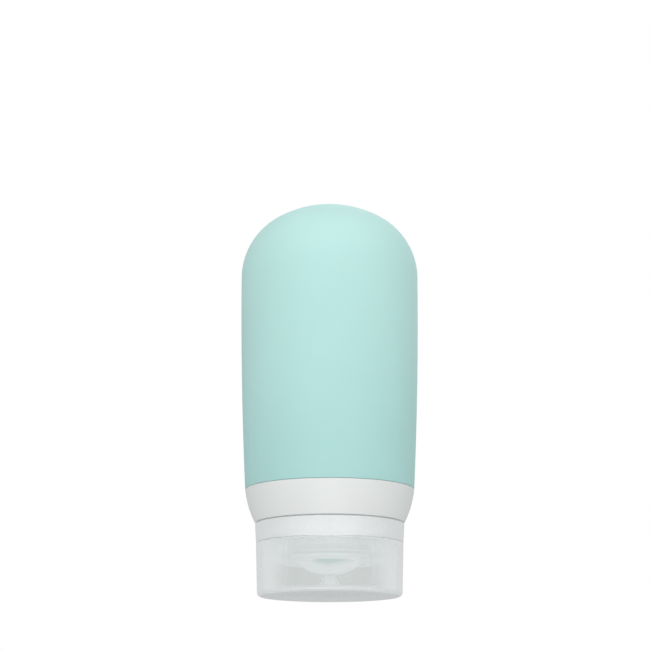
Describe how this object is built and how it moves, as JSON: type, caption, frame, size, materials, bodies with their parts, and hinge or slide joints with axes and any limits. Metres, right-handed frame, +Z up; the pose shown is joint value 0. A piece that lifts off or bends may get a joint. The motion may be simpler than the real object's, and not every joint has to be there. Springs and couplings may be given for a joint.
{
  "type": "travel bottle",
  "caption": "Soft domed silicone squeeze bottle standing on a translucent screw cap with a flip lid, plug post and slit valve.",
  "frame": {"origin": "centre of the flip lid's flat end, on the bottle's axis", "axes": "+Z up along the bottle's axis to the silicone's crown, -Y to the front, +Y to the lid's hinge"},
  "size_m": [0.0416, 0.0416, 0.092],
  "materials": {
    "mint_silicone": "soft matte",
    "white_plastic": "satin",
    "neck_plastic": "satin",
    "washer_rubber": "soft matte",
    "clear_base": "frosted translucent",
    "valve_silicone": "soft matte",
    "clear_lid": "frosted translucent"
  },
  "bodies": {
    "cap": {"cap_base": "clear_base", "drip_valve": "valve_silicone", "valve_retainer": "neck_plastic", "hinge_strap": "clear_lid"},
    "lid": {"flip_lid": "clear_lid"},
    "washer": {"seal_washer": "washer_rubber"},
    "bottle": {"neck_fitting": "neck_plastic", "collar": "white_plastic", "silicone_body": "mint_silicone"}
  },
  "joints": [
    {"name": "lid_hinge", "type": "hinge", "parent": "cap", "child": "lid", "pos_m": [0, 0.01795, 0.012], "axis": [1, 0, 0], "range_deg": [0, 170], "deforming": ["hinge_strap"]},
    {"name": "bottle_twist", "type": "hinge", "parent": "cap", "child": "washer", "pos_m": [0, 0, 0.01025], "axis": [0, 0, 1], "range_deg": [0, 900]},
    {"name": "bottle_rise", "type": "slide", "parent": "washer", "child": "bottle", "axis": [0, 0, 1], "range_m": [0, 0.00751]}
  ],
  "couplings": [
    {"joint": "bottle_rise", "follows": "bottle_twist", "m_per_rad": 0.00047746}
  ]
}
